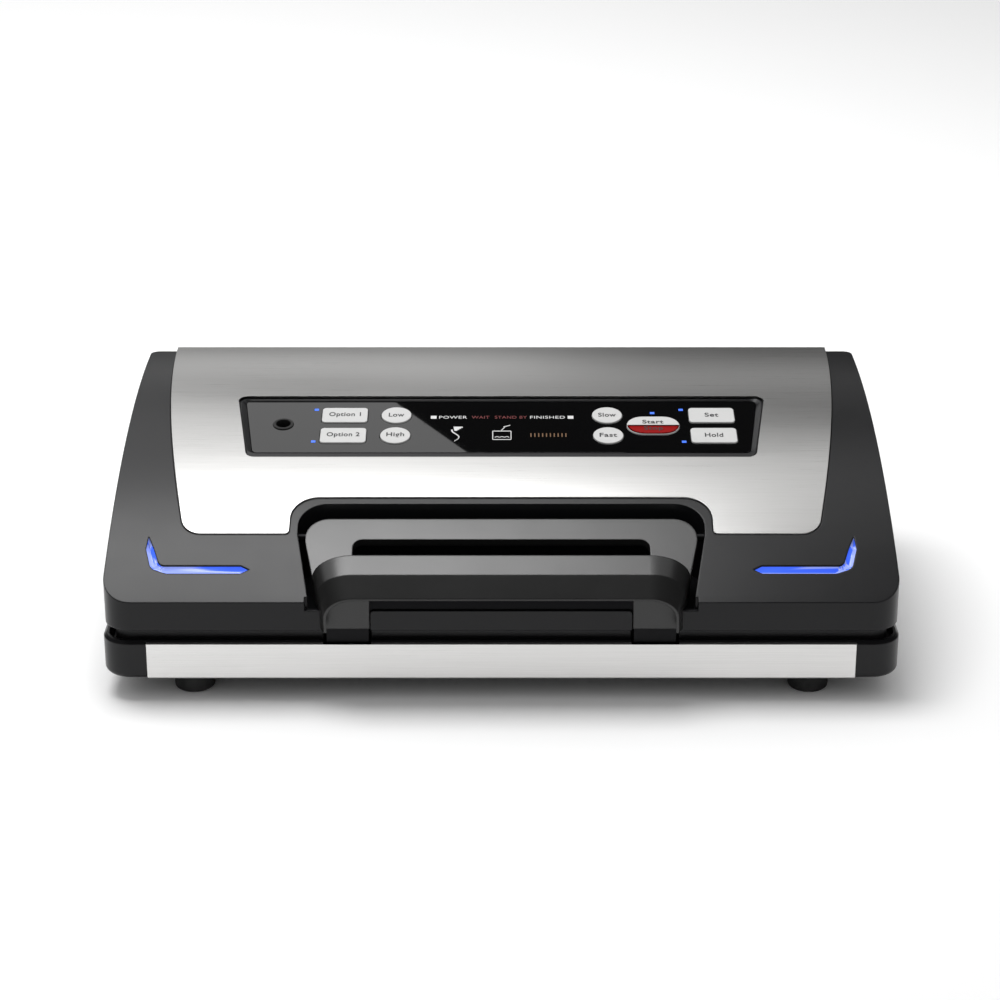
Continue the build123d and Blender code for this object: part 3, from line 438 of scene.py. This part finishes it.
def lit_lens(name, colour, strength):
    """Diffusing lens lit from below, a little uneven along its length."""
    shade = Shade(name)
    patchy = shade.noise(70.0, detail=3.0)
    tint = shade.mix(patchy.step(0.3, 0.7), tuple(c * 0.82 for c in colour), colour)
    return shade.finish(base_color=tint, roughness=0.25 + patchy * 0.1, emission_color=tint,
                        emission_strength=strength)


def valley_lens(name, deep, pale):
    """Lens of a corner light with painted light and shade: the wall that faces the user is painted deep, the
    one behind the light painted pale.
    """
    shade = Shade(name)
    side = shade.axis("X").step(-0.01, 0.01, -1.0, 1.0)
    # Painted light and shade: each valley wall's colour is picked by which way it faces, deep towards the
    # user and pale away from the user.
    painted_light_by_facing = (side * shade.facing("X") - shade.facing("Y")).step(0.4, 0.62)
    patchy = shade.noise(60.0, detail=2.0)
    glow = shade.mix(patchy.step(0.2, 0.8), tuple(c * 0.85 for c in deep), deep)
    tint = shade.mix(painted_light_by_facing, pale, glow)
    return shade.finish(base_color=tint, roughness=0.2 + patchy * 0.1, emission_color=tint,
                        emission_strength=0.5)


def worktop(name):
    """Seamless pale studio surface."""
    shade = Shade(name)
    cloud = shade.noise(1.2, detail=2.0)
    tint = shade.mix(cloud, (0.93, 0.93, 0.93), (0.95, 0.95, 0.95))
    return shade.finish(base_color=tint, roughness=0.75, specular_ior_level=0.2)


FINISHES = {}


def make_finishes():
    """All materials, by the record's slot or the marking they are for."""
    c = colours()
    body = tuple(c.plastic)
    steel = tuple(c.steel)
    FINISHES.update({
        "black_plastic": moulded_plastic("housing_black", body, 0.32, specular=0.28),
        "gloss_black": gloss_window("panel_window_black"),
        "steel": brushed_steel("cover_steel", steel, 0.30),
        # The trim is the cover's steel made 1.7 times lighter: painted light for the bright floor it
        # reflects, so the two are lit and shaded copies of one metal.
        "trim_steel": brushed_steel("trim_steel", tuple(v * 1.7 for v in steel), 0.30),
        "handle_plastic": moulded_plastic("handle_charcoal", tuple(c.handle), 0.32, specular=0.62),
        "rubber_black": rubber("foot_rubber", (0.012, 0.012, 0.012)),
        "gasket_foam": foam("gasket_foam"),
        "deck_plastic": moulded_plastic("deck_black", tuple(v * 1.5 for v in body), 0.5, grain=0.00003),
        "tray_plastic": smoked_tray("tray_smoke"),
        "element_wire": bare_metal("element_ribbon", (0.72, 0.66, 0.55), 0.3),
        "sealing_tape": coated_cloth("coated_cloth"),
        "silicone_red": rubber("strip_silicone", (0.35, 0.03, 0.025), 0.55),
        "key_white": key_cap("key_white", tuple(c.key)),
        "key_red": key_cap("key_red", tuple(c.cancel), 0.06),
        # (0.24, 0.31, 0.76) is the painted pale highlight on the valley wall behind each corner light.
        "light_blue": valley_lens("strip_blue", tuple(c.light), (0.24, 0.31, 0.76)),
        "led_blue": lit_lens("indicator_blue", (0.04, 0.14, 0.75), 0.9),
        "board_green": circuit_board("board_green"),
        "switch_black": moulded_plastic("switch_black", (0.02, 0.02, 0.02), 0.45),
        "core_iron": laminated_iron("core_iron"),
        "motor_metal": bare_metal("motor_zinc", (0.55, 0.55, 0.54), 0.35),
        "hose_silicone": clear_hose("hose_milky"),
        "pin_steel": bare_metal("pin_steel", (0.6, 0.6, 0.61), 0.25),
        "screw_metal": bare_metal("screw_zinc", (0.02, 0.02, 0.021), 0.5),
        "blade_steel": bare_metal("blade_steel", (0.7, 0.7, 0.72), 0.18),
        "dark_ink": ink("ink_dark", (0.012, 0.012, 0.014)),
        "pale_ink": ink("ink_pale", (0.62, 0.62, 0.62), glow=0.12),
        "lit_red": ink("word_red", (0.11, 0.003, 0.004), glow=0.45),
        "lit_amber": ink("tick_amber", (0.13, 0.06, 0.015), glow=0.3),
    })


# ------------------------------------------------------------------ modelling helpers
def only(*objects):
    """Select just these objects, the last one active."""
    bpy.ops.object.select_all(action="DESELECT")
    for item in objects:
        item.select_set(True)
    bpy.context.view_layer.objects.active = objects[-1]


def settle(piece, name, body, finish=None):
    """Name a finished piece, put its place in its mesh, give it a finish and let it ride."""
    only(piece)
    bpy.ops.object.transform_apply(location=True, rotation=True, scale=True)
    piece.name = name
    piece.data.name = name
    if finish is not None:
        piece.data.materials.clear()
        piece.data.materials.append(FINISHES[finish])
    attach(piece, body)


def panel_frame(point):
    """Matrix that stands flat work on the panel at a point."""
    turn = Matrix((Vector((1, 0, 0)), PANEL_UP, PANEL_NORMAL)).transposed().to_4x4()
    return Matrix.Translation(point) @ turn


def words(text, point, height, width):
    """Flat bold lettering made of mesh, stretched to a width, its middle at a point of the panel."""
    bpy.ops.object.select_all(action="DESELECT")
    bpy.ops.object.text_add(location=(0, 0, 0))
    item = bpy.context.object
    item.data.body = text
    item.data.size = height
    item.data.offset = 0.0 if text.isupper() else sizes().word_bold
    item.data.space_character = 1.08
    item.data.extrude = 0.00003
    only(item)
    bpy.ops.object.convert(target="MESH")
    item = bpy.context.object
    low = [min(v.co[i] for v in item.data.vertices) for i in (0, 1)]
    high = [max(v.co[i] for v in item.data.vertices) for i in (0, 1)]
    item.data.transform(Matrix.Translation((-(low[0] + high[0]) / 2, -(low[1] + high[1]) / 2, 0)))
    item.data.transform(Matrix.Diagonal((width * MM / (high[0] - low[0]), 1, 1, 1)))
    item.matrix_world = panel_frame(point)
    return item


# ------------------------------------------------------------------ operators
class SEALER_OT_finishes(bpy.types.Operator):
    """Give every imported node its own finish"""
    bl_idname = "sealer.finishes"
    bl_label = "Finish the frame"

    def execute(self, context):
        make_finishes()
        for entry in frame["record"]["subparts"]:
            node = NODES[entry["node"]]
            node.data.materials.clear()
            node.data.materials.append(FINISHES[entry["material_slot"]])
        NODES["key_cancel"].data.materials[0] = FINISHES["key_white"]
        return {"FINISHED"}


def upper_faces(node, normal, alone):
    """Copy of a node with its faces along a normal selected, and the rest deleted if they stand alone."""
    only(NODES[node])
    bpy.ops.object.duplicate()
    piece = bpy.context.object
    only(piece)
    bpy.ops.object.mode_set(mode="EDIT")
    bpy.ops.mesh.select_all(action="SELECT")
    bpy.ops.mesh.remove_doubles(threshold=0.00001)
    bpy.ops.mesh.dissolve_limited(angle_limit=math.radians(0.5))
    bpy.ops.mesh.select_all(action="DESELECT")
    bpy.ops.object.mode_set(mode="OBJECT")
    level = max(v.co.dot(normal) for v in piece.data.vertices)
    for face in piece.data.polygons:
        high = face.center.dot(normal) > level - 0.0001
        face.select = face.normal.dot(normal) > 0.8 and (high or not alone)
    bpy.ops.object.mode_set(mode="EDIT")
    bpy.ops.mesh.select_mode(type="FACE")
    if alone:
        bpy.ops.mesh.select_all(action="INVERT")
        bpy.ops.mesh.delete(type="FACE")
        bpy.ops.mesh.select_all(action="SELECT")
    return piece


KEY_WORDS = {
    "key_canister": ("Option 1", 17.2), "key_marinate": ("Option 2", 17.6), "key_food_normal": ("Low", 8.4),
    "key_food_liquid": ("High", 9.6), "key_speed_gentle": ("Slow", 9.6),
    "key_speed_normal": ("Fast", 9.4), "key_seal": ("Set", 7.4), "key_pulse": ("Hold", 9.8),
}


class SEALER_OT_key_words(bpy.types.Operator):
    """Print a plain control word on each key, and the red patch of the lower half key"""
    bl_idname = "sealer.key_words"
    bl_label = "Key words"

    def execute(self, context):
        s = sizes()
        for node, (text, width) in KEY_WORDS.items():
            point = face_centre(node) + PANEL_NORMAL * s.label_raise
            piece = words(text, point, s.word_height, width)
            settle(piece, "word_" + node[4:], node, "dark_ink")

        point = face_centre("key_start") + PANEL_NORMAL * s.label_raise - PANEL_UP * 0.0012
        piece = words("Start", point, s.word_height * 0.92, 11.4)
        settle(piece, "word_start", "key_start", "dark_ink")

        patch = upper_faces("key_cancel", PANEL_NORMAL, alone=True)
        bpy.ops.mesh.inset(thickness=PATCH_RIM)
        bpy.ops.mesh.select_all(action="INVERT")
        bpy.ops.mesh.delete(type="FACE")
        bpy.ops.mesh.select_all(action="SELECT")
        rise = PANEL_NORMAL * PATCH_RISE
        bpy.ops.mesh.extrude_region_move(TRANSFORM_OT_translate={"value": rise})
        bpy.ops.object.mode_set(mode="OBJECT")
        settle(patch, "cancel_patch", "key_cancel", "key_red")
        point = face_centre("key_cancel") + PANEL_NORMAL * (s.label_raise + 0.00008) + PANEL_UP * 0.0009
        piece = words("Stop", point, s.word_height * 0.92, 10.2)
        settle(piece, "word_cancel", "key_cancel", "dark_ink")
        return {"FINISHED"}


def panel_plate(name, x, t, width, height, finish, turn=0.0):
    """Thin printed bar on the window."""
    bpy.ops.object.select_all(action="DESELECT")
    bpy.ops.mesh.primitive_cube_add(size=1)
    item = bpy.context.object
    item.data.transform(Matrix.Diagonal((width * MM, height * MM, PLATE_DEPTH, 1)))
    item.data.transform(Matrix.Rotation(turn, 4, "Z"))
    item.matrix_world = panel_frame(on_panel(x, t, PLATE_LIFT_MM))
    item.name = name
    item.data.materials.append(FINISHES[finish])
    return item


def joined(pieces, name, finish):
    """Several markings as one piece of the lid."""
    for piece in pieces:
        piece.data.materials.clear()
        piece.data.materials.append(FINISHES[finish])
    only(*pieces)
    bpy.ops.object.transform_apply(location=True, rotation=True, scale=True)
    bpy.ops.object.join()
    settle(bpy.context.object, name, "lid", finish)


class SEALER_OT_display(bpy.types.Operator):
    """Words, marks and symbols that show through the dark window"""
    bl_idname = "sealer.display"
    bl_label = "Display"

    def execute(self, context):
        s = sizes()
        row = s.status_row / MM
        white = [words(text, on_panel(x, row, WORD_LIFT_MM), s.status_height, width)
                 for text, x, width in (("POWER", -26.1, 15.1), ("FINISHED", 25.0, 18.8))]
        white += [panel_plate("mark", x, row, 3.1, 3.0, "pale_ink") for x in (-36.6, 37.5)]
        joined(white, "status_words", "pale_ink")
        red = [words(text, on_panel(x, row, WORD_LIFT_MM), s.status_height, width)
               for text, x, width in (("WAIT", -11.2, 9.6), ("STAND BY", 5.2, 17.4))]
        joined(red, "status_words_dim", "lit_red")
        ticks = [panel_plate("tick", 15.9 + 2.08 * step, s.symbol_row / MM - 0.6, 0.6, 3.6, "lit_amber")
                 for step in range(10)]
        joined(ticks, "level_ticks", "lit_amber")

        middle = s.symbol_row / MM
        tray = [panel_plate("edge", x, t, wide, tall, "pale_ink", turn) for x, t, wide, tall, turn in (
            (0.3, middle - 5.0, 9.4, 0.6, 0.0), (-4.6, middle - 0.8, 0.45, 8.6, 0.0),
            (5.2, middle - 0.8, 0.45, 8.6, 0.0), (0.3, middle + 3.4, 9.6, 0.7, 0.0),
            (0.9, middle + 5.6, 0.45, 4.0, -0.5), (3.0, middle + 8.4, 4.0, 0.6, 0.45))]
        for step in range(6):
            turn = 0.7 * (-1) ** step
            tray.append(panel_plate("wave", -2.9 + step * 1.3, middle - 2.4, 1.5, 0.5, "pale_ink", turn))
        joined(tray, "symbol_tray", "pale_ink")

        flow = []
        for step in range(9):
            turn = step / 8
            x = -24.6 + 1.9 * math.sin(turn * math.pi * 1.5)
            flow.append(panel_plate("bend", x, middle - 6.0 + 10.0 * turn, 0.4 + 0.5 * turn, 1.7, "pale_ink",
                                    -0.7 * math.cos(turn * math.pi * 1.5)))
        for step in range(4):
            x = -24.4 + 0.4 * step
            flow.append(panel_plate("funnel", x, middle + 4.2 + step, 1.6 + 1.1 * step, 1.1, "pale_ink"))
        joined(flow, "symbol_flow", "pale_ink")
        return {"FINISHED"}


class SEALER_OT_corner_lights(bpy.types.Operator):
    """Valley-shaped lenses of the corner lights"""
    bl_idname = "sealer.corner_lights"
    bl_label = "Corner lights"

    def execute(self, context):
        s = sizes()
        for node in ("light_left", "light_right"):
            lens = upper_faces(node, Vector((0, 0, 1)), alone=False)
            bpy.ops.mesh.inset(thickness=s.groove_half, depth=-s.groove_depth, use_even_offset=True)
            bpy.ops.object.mode_set(mode="OBJECT")
            settle(lens, node + "_lens", "lid", "light_blue")
            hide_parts(node)
        return {"FINISHED"}


class SEALER_OT_stage(bpy.types.Operator):
    """Pale floor, soft lights and the camera"""
    bl_idname = "sealer.stage"
    bl_label = "Stage"

    def execute(self, context):
        bpy.ops.object.select_all(action="DESELECT")
        bpy.ops.mesh.primitive_plane_add(size=14, location=(0, 2, -0.0002))
        floor = bpy.context.object
        floor.name = "floor"
        floor.data.materials.append(worktop("floor_pale"))

        studio_world()
        softbox("overhead_box",
                ((-0.85, -0.15), (0.14, -0.15), (0.14, 0.66), (-0.85, 0.66)), CARD_HEIGHT, 8.4)
        softbox("rear_box",
                ((-2.2, 0.66), (0.35, 0.66), (0.31, 1.2), (-0.69, 2.2), (-2.2, 2.2)), CARD_HEIGHT, 1.45)
        softbox("side_box",
                ((0.36, 0.5), (1.2, 0.5), (1.2, 1.35), (0.36, 1.35)), CARD_HEIGHT, 1.2)
        softbox("far_box",
                ((-3.0, 2.6), (0.1, 2.6), (0.1, 3.9), (-3.0, 3.9)), FAR_CARD_HEIGHT, 1.5)
        softbox("far_side_box",
                ((-0.2, 2.3), (1.6, 2.3), (1.6, 3.3), (-0.2, 3.3)), CARD_HEIGHT, 0.8)

        s = sizes()
        camera = bpy.data.cameras.new("camera")
        camera.lens = s.camera_lens
        camera.sensor_width = 36
        camera.shift_x = -0.0013
        camera.clip_end = 50
        view = bpy.data.objects.new("camera", camera)
        bpy.context.scene.collection.objects.link(view)
        view.location = (0, FRONT_Y - s.camera_back, WAIST_HEIGHT + s.camera_up)
        view.rotation_euler = (math.pi / 2 - s.camera_pitch, 0, 0)
        bpy.context.scene.camera = view
        bpy.context.scene.view_settings.view_transform = "Standard"
        return {"FINISHED"}


def studio_world():
    """Even room light: bright on matt surfaces and dim in reflections."""
    world = bpy.data.worlds.new("studio")
    bpy.context.scene.world = world
    world.use_nodes = True
    background = world.node_tree.nodes["Background"]
    background.inputs["Color"].default_value = (1, 1, 1, 1)
    path = world.node_tree.nodes.new("ShaderNodeLightPath")
    level = world.node_tree.nodes.new("ShaderNodeMapRange")
    level.inputs["To Min"].default_value = 0.52
    level.inputs["To Max"].default_value = 0.03
    world.node_tree.links.new(path.outputs["Is Glossy Ray"], level.inputs["Value"])
    world.node_tree.links.new(level.outputs["Result"], background.inputs["Strength"])


def softbox(name, corners, height, strength):
    """Glowing card that faces down, from its corners in plan."""
    mesh = bpy.data.meshes.new(name)
    mesh.from_pydata([(x, y, height) for x, y in corners], [], [tuple(reversed(range(len(corners))))])
    card = bpy.data.objects.new(name, mesh)
    bpy.context.scene.collection.objects.link(card)
    shade = Shade(name)
    shade.node_output(shade.node("ShaderNodeEmission", inputs={"Strength": strength}))
    mesh.materials.append(shade.material)


class SEALER_PT_panel(bpy.types.Panel):
    """Sizes, colours and the build steps"""
    bl_idname = "SEALER_PT_panel"
    bl_label = "Vacuum Sealer"
    bl_space_type = "VIEW_3D"
    bl_region_type = "UI"
    bl_category = "Sealer"

    def draw(self, context):
        column = self.layout.column()
        for group in (context.scene.sealer_sizes, context.scene.sealer_colours):
            for name in group.__annotations__:
                column.prop(group, name)
        for step in STEPS:
            column.operator(step.bl_idname)


STEPS = (SEALER_OT_finishes, SEALER_OT_key_words, SEALER_OT_display, SEALER_OT_corner_lights, SEALER_OT_stage)
CLASSES = (SealerSizes, SealerColours, *STEPS, SEALER_PT_panel)


def register():
    for item in CLASSES:
        bpy.utils.register_class(item)
    bpy.types.Scene.sealer_sizes = bpy.props.PointerProperty(type=SealerSizes)
    bpy.types.Scene.sealer_colours = bpy.props.PointerProperty(type=SealerColours)


def unregister():
    del bpy.types.Scene.sealer_colours
    del bpy.types.Scene.sealer_sizes
    for item in reversed(CLASSES):
        bpy.utils.unregister_class(item)


def main():
    register()
    for step in STEPS:
        area, name = step.bl_idname.split(".")
        getattr(getattr(bpy.ops, area), name)()


if __name__ == "__main__":
    main()
